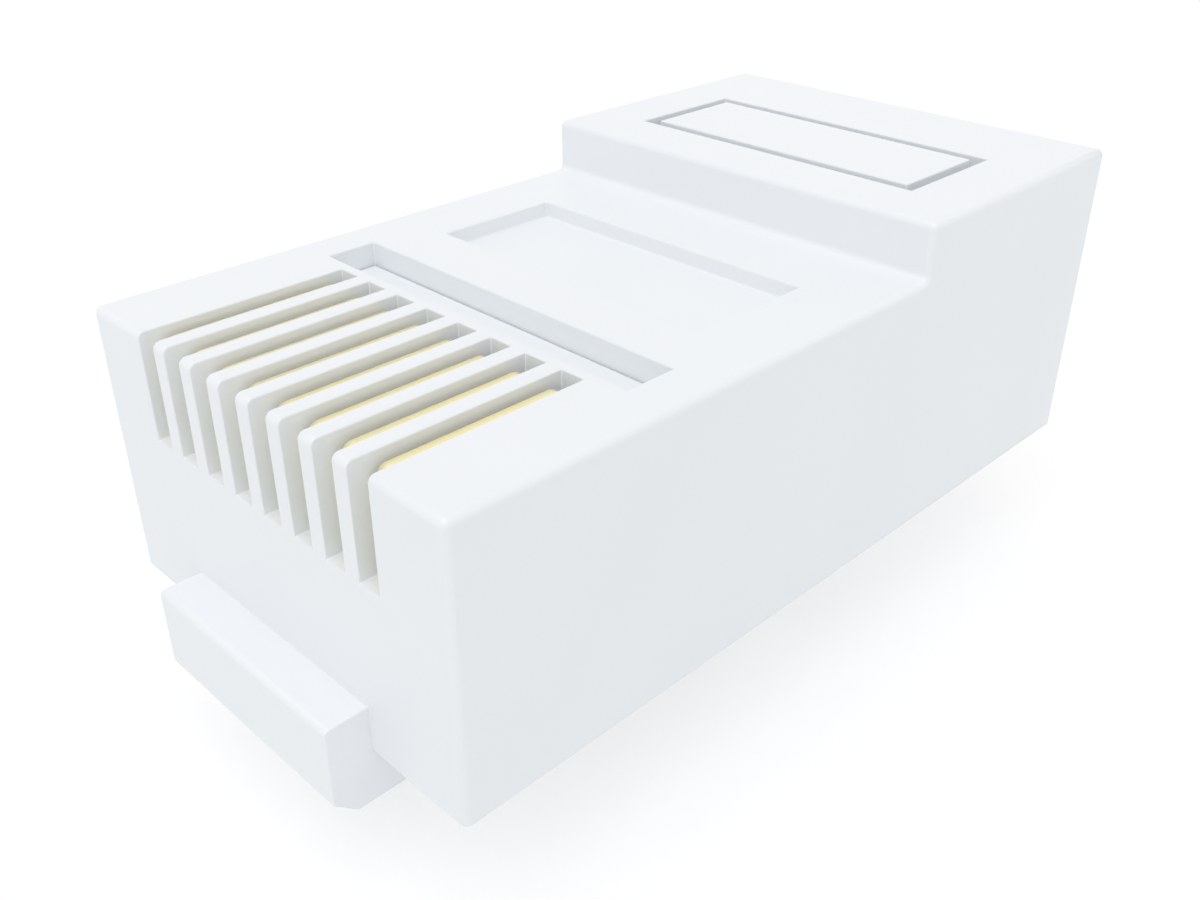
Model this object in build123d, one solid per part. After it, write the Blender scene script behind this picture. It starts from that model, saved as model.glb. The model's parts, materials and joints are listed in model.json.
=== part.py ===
from build123d import *
import os

# A modular plug with eight contacts: nose towards -Y, contacts up, latch underneath.
# Heights below are measured from the underside of the body, and lengths from the nose face.
# The finished pieces are moved so that the origin is the middle of the nose face.
# All sizes are in millimetres.

# Body: the nose goes into the jack, and the taller rear holds the cable.
body_width = 11.68
nose_length = 13.47
rear_length = 7.77
nose_height = 6.60
rear_height = 7.92
edge_radius = 0.165

# Slots in the nose, and the blade that stands in each.
contact_count = 8
contact_pitch = 1.02
slot_width = 0.60
slot_length = 4.90
slot_depth = 2.46
contact_thickness = 0.31
contact_front = 0.49
contact_length = 4.13
contact_drop = 0.20
contact_corner = 0.20
contact_clearance = 0.02
crimp_travel = 0.37
tine_count = 3
tine_width = 0.80
tine_length = 0.79
tine_taper = 0.40

# Wire channels under the contacts, and the chamber below them that takes the load bar.
channel_radius = 0.46
channel_web = 0.42
channel_front = 0.85
chamber_width = 8.50
fit_clearance = 0.03

# Load bar, pushed in from the rear until it meets the nose wall.
load_bar_length = 6.30
load_bar_height = 1.30

# Conductor clamp, in its window behind the contacts.
bar_window_y = 5.15
bar_window_length = 1.25
bar_window_width = 9.50
bar_recess = 0.56
bar_head_height = 1.04
bar_travel = 0.80
bar_ledge = 0.50
bar_nose_radius = 0.25

# Shallow recess in the roof of the nose.
recess_y = 7.99
recess_length = 3.26
recess_width = 8.00
recess_depth = 0.38

# Cable entry, and the funnel in which the pairs spread out.
cable_radius = 3.05
cable_floor = 0.70
mouth_bevel = 0.35
stop_wall = 0.45
stop_ledge = 0.28
funnel_y = 7.20
funnel_corner = 1.20
funnel_exit_corner = 0.50

# Jacket clamp, in its window in the roof of the rear.
clamp_setback = 1.59
clamp_window_length = 3.39
clamp_window_width = 8.38
clamp_gap = 0.30
clamp_pad_height = 0.90
clamp_flange_height = 0.42
clamp_travel = 1.40
clamp_jaw_width = 5.80
clamp_groove_count = 3
clamp_groove_depth = 0.22

# Latch: a root on the nose, and a lever that leans away from the body.
latch_width = 6.11
latch_drop = 1.12
root_reach = 0.98
root_top = 1.20
root_bevel_length = 0.505
root_bevel_height = 0.455
root_edge_radius = 0.15
hinge_y = 1.15
hinge_radius = 0.44
hinge_clearance = 0.03
latch_angle = 7.5
shoulder_distance = 11.15
shoulder_depth = 1.00
shoulder_top = 0.32
ramp_start = 5.60
thumb_width = 3.20
thumb_top = 0.10
thumb_thickness = 0.90
thumb_bend = 13.20
thumb_end = 15.40
thumb_rise = 0.35
thumb_tip_thickness = 0.70
lever_edge_radius = 0.12

# Places that follow from the sizes above.
body_length = nose_length + rear_length
slot_floor = nose_height - slot_depth
contact_top = nose_height - contact_drop
contact_foot = slot_floor + crimp_travel
tine_reach = slot_floor - tine_length
channel_top = slot_floor - channel_web
wire_axis = channel_top - channel_radius
chamber_floor = wire_axis - load_bar_height - 2 * fit_clearance
cable_axis = cable_floor + cable_radius
bar_top = nose_height - bar_recess
bar_shoulder = bar_top - bar_head_height
bar_seat = bar_shoulder - bar_travel
bar_tongue_width = bar_window_width - 2 * bar_ledge
clamp_shoulder = rear_height - clamp_pad_height
clamp_foot = clamp_shoulder - clamp_flange_height
clamp_seat = clamp_foot - clamp_travel
clamp_window_y = nose_length + clamp_setback
cable_stop_y = clamp_window_y - stop_wall
hinge_z = hinge_radius - latch_drop

# Ranges along Y of the windows in the roof, and how far a cut runs past a face.
bar_window = (bar_window_y, bar_window_y + bar_window_length)
clamp_window = (clamp_window_y, clamp_window_y + clamp_window_length)
past_face = 1.0


def block(x, y, z):
    """A box from its ranges along X, Y and Z."""
    middle = [(low + high) / 2 for low, high in (x, y, z)]
    size = [high - low for low, high in (x, y, z)]
    return Pos(*middle) * Box(*size)


def centred(width):
    """The range of a width that is centred on the middle plane."""
    return (-width / 2, width / 2)


def inside(span, clearance):
    """A range with a clearance taken off both its ends."""
    return (span[0] + clearance, span[1] - clearance)


def side_profile(points, width):
    """An outline in the YZ plane, as thick along X as its width."""
    return extrude(Plane.YZ * Polygon(*points, align=None), width / 2, both=True)


def across(y, z):
    """The plane across the cable at y, with its middle at height z."""
    return Plane(origin=(0, y, z), x_dir=(1, 0, 0), z_dir=(0, 1, 0))


def rod(radius, y, z, x=0):
    """A rod along the cable's direction."""
    return Pos(x, 0, 0) * extrude(across(y[0], z) * Circle(radius), y[1] - y[0])


def hinge_rod(radius, width):
    """A rod on the latch's hinge axis."""
    return extrude(Plane.YZ * Pos(hinge_y, hinge_z) * Circle(radius), width / 2, both=True)


def contact_places():
    """The middle of each contact along X, from contact 1 at the +X side."""
    first = contact_pitch * (contact_count - 1) / 2
    return [first - number * contact_pitch for number in range(contact_count)]


def body_shell():
    """The outside of the moulding: a nose and a raised rear, with small rounded edges."""
    body = side_profile(
        [
            (0, 0),
            (body_length, 0),
            (body_length, rear_height),
            (nose_length, rear_height),
            (nose_length, nose_height),
            (0, nose_height),
        ],
        body_width,
    )
    rounded = body.edges().filter_by(lambda edge: edge.center().Y < body_length - edge_radius / 2)
    return fillet(rounded, edge_radius)


def latch_root():
    """The block on the nose that carries the lever, with a round socket for its end."""
    sunk = channel_front / 3
    root = side_profile(
        [
            (sunk, root_top),
            (-root_reach, root_top),
            (-root_reach, root_bevel_height - latch_drop),
            (root_bevel_length - root_reach, -latch_drop),
            (hinge_y, -latch_drop),
            (hinge_y, sunk),
            (sunk, sunk),
        ],
        latch_width,
    )
    front_edge = root.edges().filter_by(Axis.X).group_by(Axis.Z)[-1].sort_by(Axis.Y)[0]
    root = fillet(front_edge, root_edge_radius)
    return root - hinge_rod(hinge_radius + hinge_clearance, latch_width + past_face)


def contact_slots():
    """Slots open at the nose and the top, each with a slit through which the tines reach a wire."""
    slit_width = contact_thickness + 2 * contact_clearance
    slit = (contact_front - contact_clearance, contact_front + contact_length + contact_clearance)
    cuts = []
    for x in contact_places():
        slot_x = (x - slot_width / 2, x + slot_width / 2)
        slit_x = (x - slit_width / 2, x + slit_width / 2)
        cuts.append(block(slot_x, (-past_face, slot_length), (slot_floor, nose_height + past_face)))
        cuts.append(block(slit_x, slit, (tine_reach - fit_clearance, slot_floor)))
    return cuts


def wire_space():
    """The chamber, open to the rear as its core leaves it, and a round channel for each wire."""
    chamber = block(centred(chamber_width), (channel_front, funnel_y), (chamber_floor, wire_axis))
    shelf = block(centred(chamber_width), (funnel_y, body_length + past_face), (chamber_floor, channel_top))
    channels = [rod(channel_radius, (channel_front, funnel_y), wire_axis, x) for x in contact_places()]
    return [chamber, shelf] + channels


def cable_space():
    """The round entry for the jacket, its bevelled mouth, and the funnel down to the wires."""
    entry = rod(cable_radius, (cable_stop_y, body_length + past_face), cable_axis)
    mouth = loft(
        [
            across(body_length - mouth_bevel, cable_axis) * Circle(cable_radius),
            across(body_length, cable_axis) * Circle(cable_radius + mouth_bevel),
        ]
    )
    opening = 2 * (cable_radius - stop_ledge)
    slot_height = channel_top - chamber_floor
    slot_middle = (channel_top + chamber_floor) / 2
    narrow = across(funnel_y, slot_middle) * RectangleRounded(opening, slot_height, funnel_exit_corner)
    wide = across(cable_stop_y, cable_axis) * RectangleRounded(opening, opening, funnel_corner)
    return [entry, mouth, loft([narrow, wide])]


def roof_openings():
    """The two stepped windows and the plain recess."""
    jaw_slot = clamp_jaw_width + 2 * fit_clearance
    recess = (recess_y, recess_y + recess_length)
    return [
        block(centred(bar_window_width), bar_window, (bar_seat, nose_height + past_face)),
        block(centred(bar_tongue_width), bar_window, (wire_axis, bar_seat)),
        block(centred(recess_width), recess, (nose_height - recess_depth, nose_height + past_face)),
        block(centred(clamp_window_width), clamp_window, (clamp_seat, rear_height + past_face)),
        block(centred(jaw_slot), clamp_window, (cable_axis, clamp_seat)),
    ]


def housing():
    """The whole moulding, with the latch's root and every hollow."""
    solid = body_shell() + latch_root()
    for cut in contact_slots() + wire_space() + cable_space() + roof_openings():
        solid -= cut
    return solid


def tine(start):
    """The outline of one pointed tine, from its front edge at y = start."""
    middle = start + tine_width / 2
    rear = start + tine_width
    root = contact_foot + contact_corner
    shoulder = contact_foot - tine_length + tine_taper
    tip = contact_foot - tine_length
    return Plane.YZ * Polygon(
        (start, root), (start, shoulder), (middle, tip), (rear, shoulder), (rear, root), align=None
    )


def contact(x):
    """One stamped blade: round upper corners, and tines that pierce the wire when it is pressed."""
    rear = contact_front + contact_length
    blade = Plane.YZ * Polygon(
        (contact_front, contact_foot),
        (rear, contact_foot),
        (rear, contact_top),
        (contact_front, contact_top),
        align=None,
    )
    blade = fillet(blade.vertices().group_by(Axis.Z)[-1], contact_corner)
    spacing = (contact_length - tine_width) / (tine_count - 1)
    for number in range(tine_count):
        blade += tine(contact_front + number * spacing)
    return Pos(x, 0, 0) * extrude(blade, contact_thickness / 2, both=True)


def load_bar():
    """The comb that carries the wires side by side, with half-round grooves in its top."""
    front = channel_front + fit_clearance
    rear = front + load_bar_length
    width = chamber_width - 2 * fit_clearance
    bar = block(centred(width), (front, rear), inside((chamber_floor, wire_axis), fit_clearance))
    for x in contact_places():
        bar -= rod(channel_radius, (front - past_face, rear + past_face), wire_axis, x)
    return bar


def conductor_clamp():
    """The bar that is pressed down on the wires: a head over ledges, and a tongue between them."""
    y = inside(bar_window, fit_clearance)
    head = block(centred(bar_window_width - 2 * fit_clearance), y, (bar_shoulder, bar_top))
    tongue_bottom = bar_seat + fit_clearance
    tongue = block(centred(bar_tongue_width - 2 * fit_clearance), y, (tongue_bottom, bar_shoulder))
    low_edges = tongue.edges().filter_by(Axis.X).group_by(Axis.Z)[0]
    return head + fillet(low_edges, bar_nose_radius)


def jacket_clamp():
    """The pad that is pressed down on the jacket: a flange, and a grooved jaw shaped to the cable."""
    y = inside(clamp_window, fit_clearance)
    pad_x = inside(centred(clamp_window_width), clamp_gap)
    flange_x = inside(centred(clamp_window_width), fit_clearance)
    pad = block(pad_x, inside(clamp_window, clamp_gap), (clamp_shoulder, rear_height))
    flange = block(flange_x, y, (clamp_foot, clamp_shoulder))
    jaw = block(centred(clamp_jaw_width), y, (cable_axis, clamp_foot))
    clamp = pad + flange + jaw - rod(cable_radius, (y[0] - past_face, y[1] + past_face), cable_axis)
    pitch = (y[1] - y[0]) / (clamp_groove_count + 0.5)
    for number in range(clamp_groove_count):
        start = y[0] + (number + 0.5) * pitch
        groove = (start, start + pitch / 2)
        clamp -= rod(cable_radius + clamp_groove_depth, groove, cable_axis)
    return clamp


def lever_part(points, width):
    """A part of the lever from points given from the hinge axis, along and above the lever."""
    return side_profile([(hinge_y + along, hinge_z + above) for along, above in points], width)


def latch_lever():
    """The lever, made flat under the body and then turned down to its free angle."""
    catch = lever_part(
        [
            (0, hinge_radius),
            (ramp_start, hinge_radius),
            (shoulder_distance, shoulder_top),
            (shoulder_distance, -shoulder_depth),
            (ramp_start, -hinge_radius),
            (0, -hinge_radius),
        ],
        latch_width,
    )
    shoulder_edges = catch.edges().filter_by(Axis.Z).group_by(Axis.Y)[-1]
    catch = fillet(shoulder_edges, lever_edge_radius)
    overlap = shoulder_distance - shoulder_depth
    tip_top = thumb_top + thumb_rise
    thumb = lever_part(
        [
            (overlap, thumb_top),
            (thumb_bend, thumb_top),
            (thumb_end, tip_top),
            (thumb_end, tip_top - thumb_tip_thickness),
            (thumb_bend, thumb_top - thumb_thickness),
            (overlap, thumb_top - thumb_thickness),
        ],
        thumb_width,
    )
    tip_edges = thumb.edges().filter_by(Axis.Z).group_by(Axis.Y)[-1]
    thumb = fillet(tip_edges, thumb_width / 4)
    lever = catch + thumb + hinge_rod(hinge_radius, latch_width)
    return lever.rotate(Axis((0, hinge_y, hinge_z), (1, 0, 0)), -latch_angle)


def write(name, shape):
    """Save one piece, with the middle of the nose face at the origin."""
    export_step(Pos(0, 0, -nose_height / 2) * shape, os.path.join("parts", name + ".step"))


os.makedirs("parts", exist_ok=True)
write("housing", housing())
write("latch_lever", latch_lever())
write("load_bar", load_bar())
write("conductor_clamp", conductor_clamp())
write("jacket_clamp", jacket_clamp())
for number, x in enumerate(contact_places(), start=1):
    write(f"contact_{number}", contact(x))
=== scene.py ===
import json
import math

import bmesh
import bpy
from bpy.props import FloatProperty, FloatVectorProperty, PointerProperty
from mathutils import Matrix, Vector


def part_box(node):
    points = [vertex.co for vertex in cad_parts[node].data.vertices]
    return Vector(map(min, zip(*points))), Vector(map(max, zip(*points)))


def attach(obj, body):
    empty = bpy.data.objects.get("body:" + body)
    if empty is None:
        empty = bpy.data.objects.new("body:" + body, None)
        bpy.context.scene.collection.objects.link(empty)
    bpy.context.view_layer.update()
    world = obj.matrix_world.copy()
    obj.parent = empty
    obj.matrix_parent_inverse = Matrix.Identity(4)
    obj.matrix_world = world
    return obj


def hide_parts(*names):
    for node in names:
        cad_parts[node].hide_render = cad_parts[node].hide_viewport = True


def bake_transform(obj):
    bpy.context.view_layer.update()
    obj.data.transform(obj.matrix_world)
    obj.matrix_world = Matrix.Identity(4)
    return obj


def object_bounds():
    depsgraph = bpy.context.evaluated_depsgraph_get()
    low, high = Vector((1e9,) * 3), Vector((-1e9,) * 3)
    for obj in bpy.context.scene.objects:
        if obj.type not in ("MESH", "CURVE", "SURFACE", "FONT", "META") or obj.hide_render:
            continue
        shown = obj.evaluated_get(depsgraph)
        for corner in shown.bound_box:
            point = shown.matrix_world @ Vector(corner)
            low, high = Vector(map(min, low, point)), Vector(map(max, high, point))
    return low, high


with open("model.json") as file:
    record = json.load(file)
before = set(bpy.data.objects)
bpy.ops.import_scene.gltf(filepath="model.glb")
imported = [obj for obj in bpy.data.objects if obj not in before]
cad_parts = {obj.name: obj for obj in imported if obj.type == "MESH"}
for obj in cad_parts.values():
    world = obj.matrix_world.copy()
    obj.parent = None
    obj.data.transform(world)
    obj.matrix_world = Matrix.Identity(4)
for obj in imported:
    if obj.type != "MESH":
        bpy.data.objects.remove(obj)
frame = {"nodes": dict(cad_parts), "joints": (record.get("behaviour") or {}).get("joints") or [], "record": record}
cad_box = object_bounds()

bl_info = {
    "name": "Modular Plug",
    "version": (1, 0, 0),
    "blender": (4, 5, 0),
    "location": "View3D > Sidebar > Plug",
    "description": "Finishes the plug's mouldings, contacts and latch, and lights them on a pale floor",
    "category": "Object",
}

MM = 0.001
PLUG_BODY = "plug_body"
CONTACTS = sorted(node for node in frame["nodes"] if node.startswith("contact_"))
BODY_OF = {node: body for body, nodes in frame["record"]["behaviour"]["bodies"].items() for node in nodes}
FLEX = next(joint for joint in frame["joints"] if joint["name"] == "latch_flex")
HINGE = Vector(FLEX["pos_m"])

# The housing: its flat front and bottom, its larger edge rounding, and where its wire channels end.
NOSE_FACE = 0.0
UNDERSIDE = -3.30 * MM
BODY_FILLET = 0.165 * MM
CHANNEL_END = 7.20 * MM
# How far the gold reaches from a contact's edges, and the width over which it thins out.
PLATED_DEPTH = 0.15 * MM
PLATED_FADE = 0.06 * MM
# How far the latch's root reaches into the housing, and into how many parts its bend is cut.
ROOT_SUNK = 0.28 * MM
BEND_CUTS = 12

# Place and lens of the camera, measured from the photograph in the frame's own axes.
CAMERA_PLACE = Vector((18.585, -9.377, 13.606)) * MM
CAMERA_AZIMUTH = math.radians(45.03)
CAMERA_ELEVATION = math.radians(29.98)
CAMERA_LENS = 37.12
SENSOR_WIDTH = 36.0
NEAREST_SEEN = 1 * MM
FARTHEST_SEEN = 10.0
# Side of the plug from which the soft lamp shines, and how wide it looks from there.
LAMP_SIDE = (0.17, -0.35, 0.92)
LAMP_WIDTH = math.radians(50)
# Where the floor is seen, this share of it glows, and the rest is card that takes the plug's shadow.
GLOW_SHARE = 0.6
GLOW_STRENGTH = 1.12

# Angles and distances that decide which edges of a mesh are real ones.
SHARP = math.radians(32)
FLAT = math.radians(0.4)
WELD = 0.0005 * MM


def linear(hex_colour):
    """The linear values of an sRGB hex colour, with an alpha of 1."""
    channels = [int(hex_colour[start:start + 2], 16) / 255 for start in (1, 3, 5)]
    return tuple(c / 12.92 if c <= 0.04045 else ((c + 0.055) / 1.055) ** 2.4 for c in channels) + (1.0,)


class PlugMouldingSettings(bpy.types.PropertyGroup):
    """Edges and colour of the moulded pieces."""

    body_edge: FloatProperty(
        name="Body Edge", description="Rounding of the housing's edges that have no larger fillet",
        default=0.035 * MM, min=0.0, unit="LENGTH", precision=6,
    )
    clamp_edge: FloatProperty(
        name="Clamp Edge", description="Rounding of the edges of the clamps and the load bar",
        default=0.04 * MM, min=0.0, unit="LENGTH", precision=6,
    )
    plastic: FloatVectorProperty(
        name="Plastic", description="Colour of the moulded plastic",
        default=linear("#F4F7FA"), size=4, min=0.0, max=1.0, subtype="COLOR",
    )


class PlugContactSettings(bpy.types.PropertyGroup):
    """Edges and colour of the stamped contacts."""

    coined_edge: FloatProperty(
        name="Coined Edge", description="Rounding of a blade's edges after stamping and plating",
        default=0.03 * MM, min=0.0, unit="LENGTH", precision=6,
    )
    gold: FloatVectorProperty(
        name="Gold", description="Colour of the plating",
        default=linear("#FFF8D0"), size=4, min=0.0, max=1.0, subtype="COLOR",
    )


class PlugLatchSettings(bpy.types.PropertyGroup):
    """Sizes of the latch, from its hinge axis along the lever and above it."""

    root_front: FloatProperty(
        name="Root Front", description="Distance from the hinge forwards to the front of the root",
        default=2.13 * MM, min=0.0, unit="LENGTH", precision=5,
    )
    root_top: FloatProperty(
        name="Root Top", description="Height of the root's top on the nose",
        default=1.88 * MM, min=0.0, unit="LENGTH", precision=5,
    )
    root_bevel_length: FloatProperty(
        name="Root Bevel Length", description="Length of the bevel below the root's front",
        default=0.505 * MM, min=0.0, unit="LENGTH", precision=6,
    )
    root_bevel_height: FloatProperty(
        name="Root Bevel Height", description="Height of the bevel below the root's front",
        default=0.455 * MM, min=0.0, unit="LENGTH", precision=6,
    )
    root_round: FloatProperty(
        name="Root Rounding", description="Rounding of the root's upper front edge",
        default=0.15 * MM, min=0.0, unit="LENGTH", precision=6,
    )

    width: FloatProperty(
        name="Width", description="Width of the root and the catch, a hair more than the root it covers",
        default=6.12 * MM, min=0.0, unit="LENGTH", precision=5,
    )
    thickness: FloatProperty(
        name="Thickness", description="Thickness of the lever where it bends",
        default=0.88 * MM, min=0.0, unit="LENGTH", precision=5,
    )
    ramp_start: FloatProperty(
        name="Ramp Start", description="Distance from the hinge to where the catch thickens",
        default=5.60 * MM, min=0.0, unit="LENGTH", precision=5,
    )
    shoulder: FloatProperty(
        name="Shoulder", description="Distance from the hinge to the shoulders",
        default=11.15 * MM, min=0.0, unit="LENGTH", precision=5,
    )
    shoulder_top: FloatProperty(
        name="Shoulder Top", description="Height of the lever's top at the shoulders",
        default=0.32 * MM, unit="LENGTH", precision=5,
    )
    shoulder_depth: FloatProperty(
        name="Shoulder Depth", description="Depth of the lever's underside at the shoulders",
        default=1.00 * MM, min=0.0, unit="LENGTH", precision=5,
    )
    thumb_width: FloatProperty(
        name="Thumb Width", description="Width of the thumb lever behind the shoulders",
        default=3.20 * MM, min=0.0, unit="LENGTH", precision=5,
    )
    thumb_top: FloatProperty(
        name="Thumb Top", description="Height of the thumb lever's top",
        default=0.10 * MM, unit="LENGTH", precision=5,
    )
    thumb_depth: FloatProperty(
        name="Thumb Depth", description="Depth of the thumb lever's underside",
        default=0.80 * MM, min=0.0, unit="LENGTH", precision=5,
    )
    thumb_bend: FloatProperty(
        name="Thumb Bend", description="Distance from the hinge to where the thumb lever turns up",
        default=13.20 * MM, min=0.0, unit="LENGTH", precision=5,
    )
    thumb_end: FloatProperty(
        name="Thumb End", description="Distance from the hinge to the end of the thumb lever",
        default=15.40 * MM, min=0.0, unit="LENGTH", precision=5,
    )
    tip_top: FloatProperty(
        name="Tip Top", description="Height of the thumb lever's top at its end",
        default=0.45 * MM, unit="LENGTH", precision=5,
    )
    tip_depth: FloatProperty(
        name="Tip Depth", description="Depth of the thumb lever's underside at its end",
        default=0.25 * MM, unit="LENGTH", precision=5,
    )
    tip_round: FloatProperty(
        name="Tip Rounding", description="Rounding of the thumb lever's two end corners",
        default=0.8 * MM, min=0.0, unit="LENGTH", precision=5,
    )
    shoulder_round: FloatProperty(
        name="Shoulder Rounding", description="Rounding of the catch's upright edges and the root's corner",
        default=0.12 * MM, min=0.0, unit="LENGTH", precision=6,
    )
    edge: FloatProperty(
        name="Edge", description="Rounding of the latch's other edges",
        default=0.035 * MM, min=0.0, unit="LENGTH", precision=6,
    )
    flex_length: FloatProperty(
        name="Flex Length", description="Length behind the root over which the lever bends",
        default=1.5 * MM, min=0.0, unit="LENGTH", precision=5,
    )
    free_angle: FloatProperty(
        name="Free Angle", description="How far the free lever leans away from the body",
        default=math.radians(7.5), min=0.0, subtype="ANGLE",
    )


class PlugStageSettings(bpy.types.PropertyGroup):
    """Light and floor."""

    sky: FloatProperty(
        name="Sky", description="Strength of the even light from all round", default=0.735, min=0.0,
    )
    sun: FloatProperty(
        name="Sun", description="Strength of the soft lamp by the camera", default=0.85, min=0.0,
    )
    floor_size: FloatProperty(
        name="Floor Size", description="Width of the floor", default=0.6, min=0.0, unit="LENGTH",
    )


def per(size_mm):
    """The texture scale at which a pattern on Object coordinates has features about size_mm wide."""
    return 1 / (size_mm * MM)


def add(tree, kind, values=(), links=(), **settings):
    """Add a node with its settings, its input values and the links into its inputs."""
    node = tree.nodes.new(kind)
    for key, value in settings.items():
        setattr(node, key, value)
    for key, value in dict(values).items():
        node.inputs[key].default_value = value
    for key, (source, output) in dict(links).items():
        tree.links.new(source.outputs[output], node.inputs[key])
    return node


def material_tree(name):
    """A node material without nodes, made once for each name, and its tree."""
    material = bpy.data.materials.get(name) or bpy.data.materials.new(name)
    material.use_nodes = True
    material.node_tree.nodes.clear()
    return material, material.node_tree


def moulded_polycarbonate(colour):
    """Polycarbonate, injection moulded and filled to a pale opaque white.

    The eye sees an even cool white that drifts slightly with the flow of the plastic, and a gloss that is
    uneven where the mould was polished.
    """
    material, tree = material_tree("moulded_polycarbonate")
    place = add(tree, "ShaderNodeTexCoord")
    flow = add(
        tree, "ShaderNodeTexNoise", {"Scale": per(6.0), "Detail": 2.0, "Distortion": 0.6},
        {"Vector": (place, "Object")},
    )
    polish = add(
        tree, "ShaderNodeTexNoise", {"Scale": per(0.8), "Detail": 3.0}, {"Vector": (place, "Object")},
    )
    tone = add(
        tree, "ShaderNodeMix", {"A": colour, "B": linear("#F0F3F6")}, {"Factor": (flow, "Fac")},
        data_type="RGBA",
    )
    gloss = add(tree, "ShaderNodeMapRange", {"To Min": 0.29, "To Max": 0.41}, {"Value": (polish, "Fac")})
    skin = add(
        tree, "ShaderNodeBump", {"Strength": 0.05, "Distance": 0.02 * MM}, {"Height": (polish, "Fac")},
    )
    shader = add(
        tree, "ShaderNodeBsdfPrincipled", {"IOR": 1.585},
        {"Base Color": (tone, "Result"), "Roughness": (gloss, "Result"), "Normal": (skin, "Normal")},
    )
    add(tree, "ShaderNodeOutputMaterial", links={"Surface": (shader, "BSDF")})
    return material


def plated_bronze(colour):
    """Phosphor bronze, stamped, plated all over with nickel and then with gold along the edges that mate.

    The eye sees a pale warm mirror on the crown and down the front edge, a grey one on the flat sides, and
    both a little duller along the fine lines that the press leaves.
    """
    material, tree = material_tree("gold_plated_bronze")
    low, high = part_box(CONTACTS[0])
    place = add(tree, "ShaderNodeTexCoord")
    stretch = add(
        tree, "ShaderNodeMapping", {"Scale": (per(0.04), per(0.9), per(0.04))},
        {"Vector": (place, "Object")},
    )
    lines = add(tree, "ShaderNodeTexNoise", {"Scale": 1.0, "Detail": 2.0}, {"Vector": (stretch, "Vector")})
    gold = add(
        tree, "ShaderNodeMix", {"A": colour, "B": linear("#FFF1BA")}, {"Factor": (lines, "Fac")},
        data_type="RGBA",
    )
    axes = add(tree, "ShaderNodeSeparateXYZ", links={"Vector": (place, "Object")})
    crown = add(
        tree, "ShaderNodeMapRange",
        {"From Min": high[2] - PLATED_DEPTH - PLATED_FADE, "From Max": high[2] - PLATED_DEPTH},
        {"Value": (axes, "Z")},
    )
    front = add(
        tree, "ShaderNodeMapRange",
        {"From Min": low[1] + PLATED_DEPTH + PLATED_FADE, "From Max": low[1] + PLATED_DEPTH},
        {"Value": (axes, "Y")},
    )
    plated = add(
        tree, "ShaderNodeMath", links={0: (crown, "Result"), 1: (front, "Result")}, operation="MAXIMUM",
    )
    tone = add(
        tree, "ShaderNodeMix", {"A": linear("#E6E8EA")},
        {"Factor": (plated, "Value"), "B": (gold, "Result")},
        data_type="RGBA",
    )
    dull = add(tree, "ShaderNodeMapRange", {"To Min": 0.30, "To Max": 0.46}, {"Value": (lines, "Fac")})
    shader = add(
        tree, "ShaderNodeBsdfPrincipled", {"Metallic": 1.0},
        {"Base Color": (tone, "Result"), "Roughness": (dull, "Result")},
    )
    add(tree, "ShaderNodeOutputMaterial", links={"Surface": (shader, "BSDF")})
    return material


def seen_directly(tree):
    """A node that gives 1 to the camera and to what gloss or glass shows, and 0 to the light on the plug."""
    ray = add(tree, "ShaderNodeLightPath")
    seen = add(
        tree, "ShaderNodeMath", links={0: (ray, "Is Camera Ray"), 1: (ray, "Is Glossy Ray")},
        operation="MAXIMUM",
    )
    return add(
        tree, "ShaderNodeMath", links={0: (seen, "Value"), 1: (ray, "Is Transmission Ray")},
        operation="MAXIMUM",
    )


def studio_floor():
    """Matt white card: it lights the plug from below, looks white and keeps the plug's shadow."""
    material, tree = material_tree("matt_white_card")
    seen = seen_directly(tree)
    share = add(tree, "ShaderNodeMath", {1: GLOW_SHARE}, {0: (seen, "Value")}, operation="MULTIPLY")
    card = add(tree, "ShaderNodeBsdfDiffuse", {"Color": linear("#F4F5F6")})
    white = add(tree, "ShaderNodeEmission", {"Strength": GLOW_STRENGTH})
    mixed = add(
        tree, "ShaderNodeMixShader", links={0: (share, "Value"), 1: (card, "BSDF"), 2: (white, "Emission")},
    )
    add(tree, "ShaderNodeOutputMaterial", links={"Surface": (mixed, "Shader")})
    return material


def new_object(shape, name, material):
    """An object at the origin from a bmesh, in a material."""
    mesh = bpy.data.meshes.new(name)
    shape.to_mesh(mesh)
    shape.free()
    mesh.materials.append(material)
    made = bpy.data.objects.new(name, mesh)
    bpy.context.scene.collection.objects.link(made)
    return made


def new_piece(shape, name, material):
    """A piece of the plug from a bmesh, with flat faces kept flat beside rounded edges."""
    for face in shape.faces:
        face.smooth = True
    piece = new_object(shape, name, material)
    shading = piece.modifiers.new("flat_faces", "WEIGHTED_NORMAL")
    shading.weight = 100
    shading.keep_sharp = False
    return piece


def round_off(shape, edges, radius, segments):
    """Round some of a mesh's edges."""
    bmesh.ops.bevel(
        shape, geom=edges, offset=radius, offset_type="OFFSET", segments=segments, profile=0.5,
        affect="EDGES", clamp_overlap=False, material=-1,
    )


def round_sharp_edges(shape, radius, segments, skip=None):
    """Round every edge of a mesh that turns by more than a moulded curve's own facets do."""
    shape.normal_update()
    sharp = [edge for edge in shape.edges if edge.is_manifold and edge.calc_face_angle() > SHARP]
    round_off(shape, [edge for edge in sharp if not (skip and skip(edge))], radius, segments)
    bmesh.ops.remove_doubles(shape, verts=shape.verts, dist=WELD)
    if not all(edge.is_manifold for edge in shape.edges):
        raise RuntimeError("a rounded mesh isn't closed")


def copied(node):
    """A node's form as a clean mesh, with one face for each of its flat sides."""
    shape = bmesh.new()
    shape.from_mesh(frame["nodes"][node].data)
    bmesh.ops.remove_doubles(shape, verts=shape.verts, dist=WELD)
    bmesh.ops.dissolve_limit(shape, angle_limit=FLAT, verts=shape.verts, edges=shape.edges)
    return shape


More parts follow.
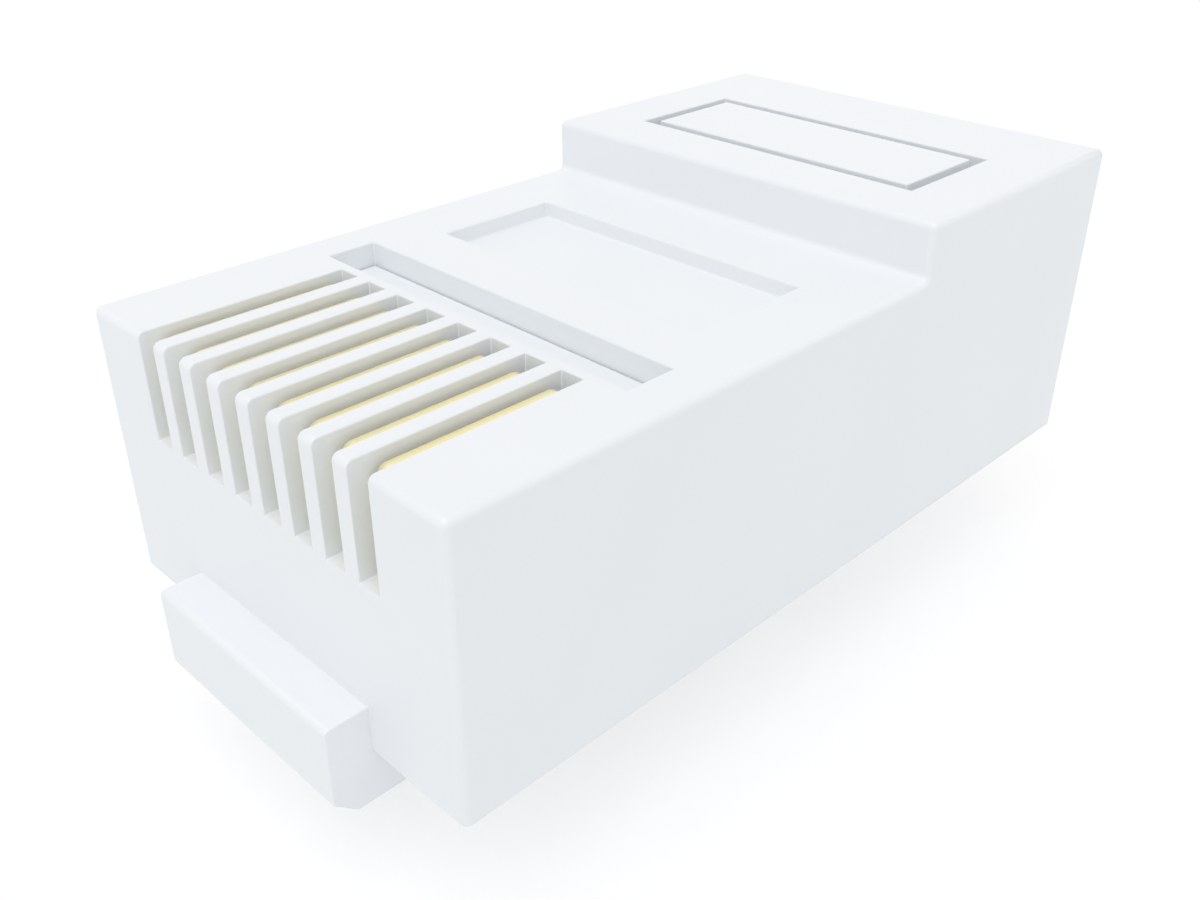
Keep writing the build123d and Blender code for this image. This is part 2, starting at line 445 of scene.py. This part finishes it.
def cut_flat(shape, place, outwards):
    """Cut off what lies beyond a plane, and close the cut with one face."""
    everything = shape.verts[:] + shape.edges[:] + shape.faces[:]
    bmesh.ops.bisect_plane(
        shape, geom=everything, dist=WELD, plane_co=place, plane_no=outwards, clear_outer=True,
    )
    bmesh.ops.edgeloop_fill(shape, edges=[edge for edge in shape.edges if edge.is_boundary])
    bmesh.ops.dissolve_limit(shape, angle_limit=FLAT, verts=shape.verts, edges=shape.edges)


def softened(node, name, radius, material):
    """A piece in a node's place: the node's own form with its sharp edges rounded."""
    shape = copied(node)
    round_sharp_edges(shape, radius, segments=2)
    piece = new_piece(shape, name, material)
    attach(piece, BODY_OF[node])
    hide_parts(node)


def left_sharp(edge):
    """Whether an edge of the housing stays sharp: inside the latch's root, or at the wire channels' ends."""
    half = bpy.context.scene.plug_latch.width / 2
    if all(abs(vert.co.y - CHANNEL_END) < WELD for vert in edge.verts):
        return True
    return all(
        abs(vert.co.x) < half + WELD
        and vert.co.y < NOSE_FACE + BODY_FILLET + WELD
        and vert.co.z < UNDERSIDE + BODY_FILLET + WELD
        for vert in edge.verts
    )


class PLUG_OT_housing(bpy.types.Operator):
    """Make the moulded housing, with its comb of slots, windows and cable entry"""

    bl_idname = "plug.housing"
    bl_label = "Housing"

    def execute(self, context):
        sizes = context.scene.plug_moulding
        plastic = moulded_polycarbonate(sizes.plastic)
        shape = copied("housing")
        # The latch's root comes off here, because the latch's own piece is made in one with it.
        cut_flat(shape, (0, NOSE_FACE, 0), (0, -1, 0))
        cut_flat(shape, (0, 0, UNDERSIDE), (0, 0, -1))
        round_sharp_edges(shape, sizes.body_edge, segments=2, skip=left_sharp)
        piece = new_piece(shape, "moulded_housing", plastic)
        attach(piece, PLUG_BODY)
        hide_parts("housing")
        return {"FINISHED"}


class PLUG_OT_clamps(bpy.types.Operator):
    """Make the conductor clamp, the jacket clamp and the load bar"""

    bl_idname = "plug.clamps"
    bl_label = "Clamps and Load Bar"

    def execute(self, context):
        sizes = context.scene.plug_moulding
        plastic = moulded_polycarbonate(sizes.plastic)
        softened("conductor_clamp", "moulded_conductor_clamp", sizes.clamp_edge, plastic)
        softened("jacket_clamp", "moulded_jacket_clamp", sizes.clamp_edge, plastic)
        softened("load_bar", "moulded_load_bar", sizes.clamp_edge, plastic)
        return {"FINISHED"}


class PLUG_OT_contacts(bpy.types.Operator):
    """Make the eight gold-plated contact blades"""

    bl_idname = "plug.contacts"
    bl_label = "Contacts"

    def execute(self, context):
        sizes = context.scene.plug_contacts
        gold = plated_bronze(sizes.gold)
        for node in CONTACTS:
            softened(node, "plated_" + node, sizes.coined_edge, gold)
        return {"FINISHED"}


def latch_outline(sizes):
    """Side outline of the root and the catch, flat: distances from the hinge, along and above it."""
    half = sizes.thickness / 2
    nose = NOSE_FACE - HINGE.y + ROOT_SUNK
    body = UNDERSIDE - HINGE.z + ROOT_SUNK
    return [
        (-sizes.root_front, sizes.root_top),
        (-sizes.root_front, sizes.root_bevel_height - half),
        (sizes.root_bevel_length - sizes.root_front, -half),
        (sizes.ramp_start, -half),
        (sizes.shoulder, -sizes.shoulder_depth),
        (sizes.shoulder, sizes.shoulder_top),
        (sizes.ramp_start, half),
        (0.0, half),
        (0.0, body),
        (nose, body),
        (nose, sizes.root_top),
    ]


def edges_at(shape, **place):
    """Edges both of whose ends lie at the given x, y or z."""
    return [
        edge for edge in shape.edges
        if all(abs(getattr(vert.co, axis) - at) < WELD for vert in edge.verts for axis, at in place.items())
    ]


def grow(shape, face, bottom, top, along):
    """Extrude a face with four corners to a section further along the latch, and give the new face."""
    grown = bmesh.ops.extrude_face_region(shape, geom=[face])["geom"]
    bmesh.ops.delete(shape, geom=[face], context="FACES_ONLY")
    face = next(item for item in grown if isinstance(item, bmesh.types.BMFace))
    middle = face.calc_center_median()
    for vert in face.verts:
        above = top if vert.co.z > middle.z else bottom
        vert.co = Vector((vert.co.x, HINGE.y + along, HINGE.z + above))
    return face


def face_across(shape, middle):
    """Of the faces that lie across the latch at a point, the one whose middle is nearest to it."""
    across = [face for face in shape.faces if all(abs(vert.co.y - middle.y) < WELD for vert in face.verts)]
    return min(across, key=lambda face: (face.calc_center_median() - middle).length)


def thumb_face(shape, sizes):
    """Cut the section of the thumb lever out of the shoulders' rear face, and give it."""
    middle = HINGE + Vector((0, sizes.shoulder, (sizes.thumb_top - sizes.thumb_depth) / 2))
    half = sizes.thumb_width / 2
    cuts = [
        ((-half, 0, 0), (1, 0, 0)),
        ((half, 0, 0), (1, 0, 0)),
        ((0, 0, HINGE.z + sizes.thumb_top), (0, 0, 1)),
        ((0, 0, HINGE.z - sizes.thumb_depth), (0, 0, 1)),
    ]
    for place, direction in cuts:
        face = face_across(shape, middle)
        bmesh.ops.bisect_plane(
            shape, geom=[face, *face.edges, *face.verts], dist=WELD, plane_co=place, plane_no=direction,
        )
    return face_across(shape, middle)


def latch_shape(sizes):
    """The latch as a flat mesh: root and catch at the full width, and the narrower thumb lever behind."""
    shape = bmesh.new()
    side = HINGE - Vector((sizes.width / 2, 0, 0))
    outline = [shape.verts.new(side + Vector((0, along, above))) for along, above in latch_outline(sizes)]
    grown = bmesh.ops.extrude_face_region(shape, geom=[shape.faces.new(outline)])["geom"]
    far_side = [item for item in grown if isinstance(item, bmesh.types.BMVert)]
    bmesh.ops.translate(shape, verts=far_side, vec=(sizes.width, 0, 0))
    face = thumb_face(shape, sizes)
    face = grow(shape, face, -sizes.thumb_depth, sizes.thumb_top, along=sizes.thumb_bend)
    grow(shape, face, -sizes.tip_depth, sizes.tip_top, along=sizes.thumb_end)
    bmesh.ops.recalc_face_normals(shape, faces=shape.faces)
    return shape


def bent(place, sizes):
    """Where a point of the flat latch lies when the free lever leans away from the body.

    Behind the bend the lever is turned about the hinge. Within it, the lever's middle line runs level at
    the root and falls evenly to that slope, and the sections stay square to the line.
    """
    offset = place - HINGE
    part = min(max(offset.y / sizes.flex_length, 0.0), 1.0)
    slope = sizes.free_angle * (6 * part - 9 * part ** 2 + 4 * part ** 3)
    fall = math.sin(sizes.free_angle) * (3 * part ** 2 - 3 * part ** 3 + part ** 4)
    reach = part - (1 - math.cos(sizes.free_angle)) * part ** 2
    line = Vector((0, reach, -fall)) * sizes.flex_length
    rest = Vector((offset.x, offset.y - part * sizes.flex_length, offset.z))
    return HINGE + line + Matrix.Rotation(-slope, 3, "X") @ rest


def round_latch(shape, sizes):
    """Round the flat latch's larger edges first, and then all that are still sharp."""
    front_top = edges_at(shape, y=HINGE.y - sizes.root_front, z=HINGE.z + sizes.root_top)
    round_off(shape, front_top, sizes.root_round, segments=6)
    for side in (-0.5, 0.5):
        shoulder = edges_at(shape, x=side * sizes.width, y=HINGE.y + sizes.shoulder)
        round_off(shape, shoulder, sizes.shoulder_round, segments=4)
        tip = edges_at(shape, x=side * sizes.thumb_width, y=HINGE.y + sizes.thumb_end)
        round_off(shape, tip, sizes.tip_round, segments=10)
    root_corner = edges_at(shape, y=HINGE.y, z=HINGE.z + sizes.thickness / 2)
    round_off(shape, root_corner, sizes.shoulder_round, segments=4)
    round_sharp_edges(shape, sizes.edge, segments=2)


def bend_latch(shape, sizes):
    """Cut the lever across where it bends, and lean it to its free angle."""
    for cut in range(1, BEND_CUTS):
        bmesh.ops.bisect_plane(
            shape, geom=shape.verts[:] + shape.edges[:] + shape.faces[:], dist=WELD,
            plane_co=HINGE + Vector((0, sizes.flex_length * cut / BEND_CUTS, 0)), plane_no=(0, 1, 0),
        )
    for vert in shape.verts:
        vert.co = bent(vert.co, sizes)


class PLUG_OT_latch(bpy.types.Operator):
    """Make the latch in one piece from root to thumb lever, so that it bends where the real one does"""

    bl_idname = "plug.latch"
    bl_label = "Latch"

    def execute(self, context):
        sizes = context.scene.plug_latch
        plastic = moulded_polycarbonate(context.scene.plug_moulding.plastic)
        shape = latch_shape(sizes)
        round_latch(shape, sizes)
        bend_latch(shape, sizes)
        piece = new_piece(shape, "moulded_latch", plastic)
        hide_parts("latch_lever")
        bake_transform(piece)
        return {"FINISHED"}


def lay_floor(size):
    """A square of white card that the latch's lowest point touches."""
    shape = bmesh.new()
    bmesh.ops.create_grid(shape, x_segments=1, y_segments=1, size=size / 2)
    bmesh.ops.translate(shape, verts=shape.verts, vec=(0, 0, cad_box[0][2]))
    floor = new_object(shape, "floor", studio_floor())


def light_room(sky):
    """Even light from all round, which the camera and reflections see as white."""
    world = bpy.data.worlds.new("soft_white_room")
    bpy.context.scene.world = world
    world.use_nodes = True
    tree = world.node_tree
    tree.nodes.clear()
    seen = seen_directly(tree)
    strength = add(tree, "ShaderNodeMapRange", {"To Min": sky, "To Max": 1.0}, {"Value": (seen, "Value")})
    room = add(
        tree, "ShaderNodeBackground", {"Color": linear("#FFFFFF")}, {"Strength": (strength, "Result")},
    )
    add(tree, "ShaderNodeOutputWorld", links={"Surface": (room, "Background")})


def hang_lamp(strength):
    """A soft lamp above the nose."""
    lamp = bpy.data.lights.new("soft_lamp", "SUN")
    lamp.energy = strength
    lamp.angle = LAMP_WIDTH
    sun = bpy.data.objects.new("soft_lamp", lamp)
    sun.rotation_euler = Vector(LAMP_SIDE).to_track_quat("Z", "Y").to_euler()
    bpy.context.scene.collection.objects.link(sun)


def set_camera():
    """The photograph's own camera."""
    scene = bpy.context.scene
    view = bpy.data.cameras.new("camera")
    view.lens = CAMERA_LENS
    view.sensor_width = SENSOR_WIDTH
    view.clip_start = NEAREST_SEEN
    view.clip_end = FARTHEST_SEEN
    camera = bpy.data.objects.new("camera", view)
    camera.location = CAMERA_PLACE
    camera.rotation_euler = (math.pi / 2 - CAMERA_ELEVATION, 0.0, CAMERA_AZIMUTH)
    scene.collection.objects.link(camera)
    scene.camera = camera
    scene.view_settings.view_transform = "Standard"


class PLUG_OT_stage(bpy.types.Operator):
    """Make the floor, the light and the camera"""

    bl_idname = "plug.stage"
    bl_label = "Stage"

    def execute(self, context):
        sizes = context.scene.plug_stage
        lay_floor(sizes.floor_size)
        light_room(sizes.sky)
        hang_lamp(sizes.sun)
        set_camera()
        return {"FINISHED"}


class PLUG_PT_panel(bpy.types.Panel):
    """The plug's sizes, colours and pieces"""

    bl_label = "Modular Plug"
    bl_idname = "PLUG_PT_panel"
    bl_space_type = "VIEW_3D"
    bl_region_type = "UI"
    bl_category = "Plug"

    def draw(self, context):
        scene = context.scene
        for settings in (scene.plug_moulding, scene.plug_contacts, scene.plug_latch, scene.plug_stage):
            column = self.layout.column(align=True)
            for name in settings.__annotations__:
                column.prop(settings, name)
        for operator in OPERATORS:
            self.layout.operator(operator.bl_idname)


SETTINGS = {
    "plug_moulding": PlugMouldingSettings,
    "plug_contacts": PlugContactSettings,
    "plug_latch": PlugLatchSettings,
    "plug_stage": PlugStageSettings,
}
OPERATORS = (PLUG_OT_housing, PLUG_OT_clamps, PLUG_OT_contacts, PLUG_OT_latch, PLUG_OT_stage)


def register():
    for group in SETTINGS.values():
        bpy.utils.register_class(group)
    for operator in OPERATORS:
        bpy.utils.register_class(operator)
    bpy.utils.register_class(PLUG_PT_panel)
    for name, group in SETTINGS.items():
        setattr(bpy.types.Scene, name, PointerProperty(type=group))


def unregister():
    for name in SETTINGS:
        delattr(bpy.types.Scene, name)
    bpy.utils.unregister_class(PLUG_PT_panel)
    for operator in reversed(OPERATORS):
        bpy.utils.unregister_class(operator)
    for group in reversed(SETTINGS.values()):
        bpy.utils.unregister_class(group)


def main():
    register()
    bpy.ops.plug.housing()
    bpy.ops.plug.clamps()
    bpy.ops.plug.contacts()
    bpy.ops.plug.latch()
    bpy.ops.plug.stage()


if __name__ == "__main__":
    main()
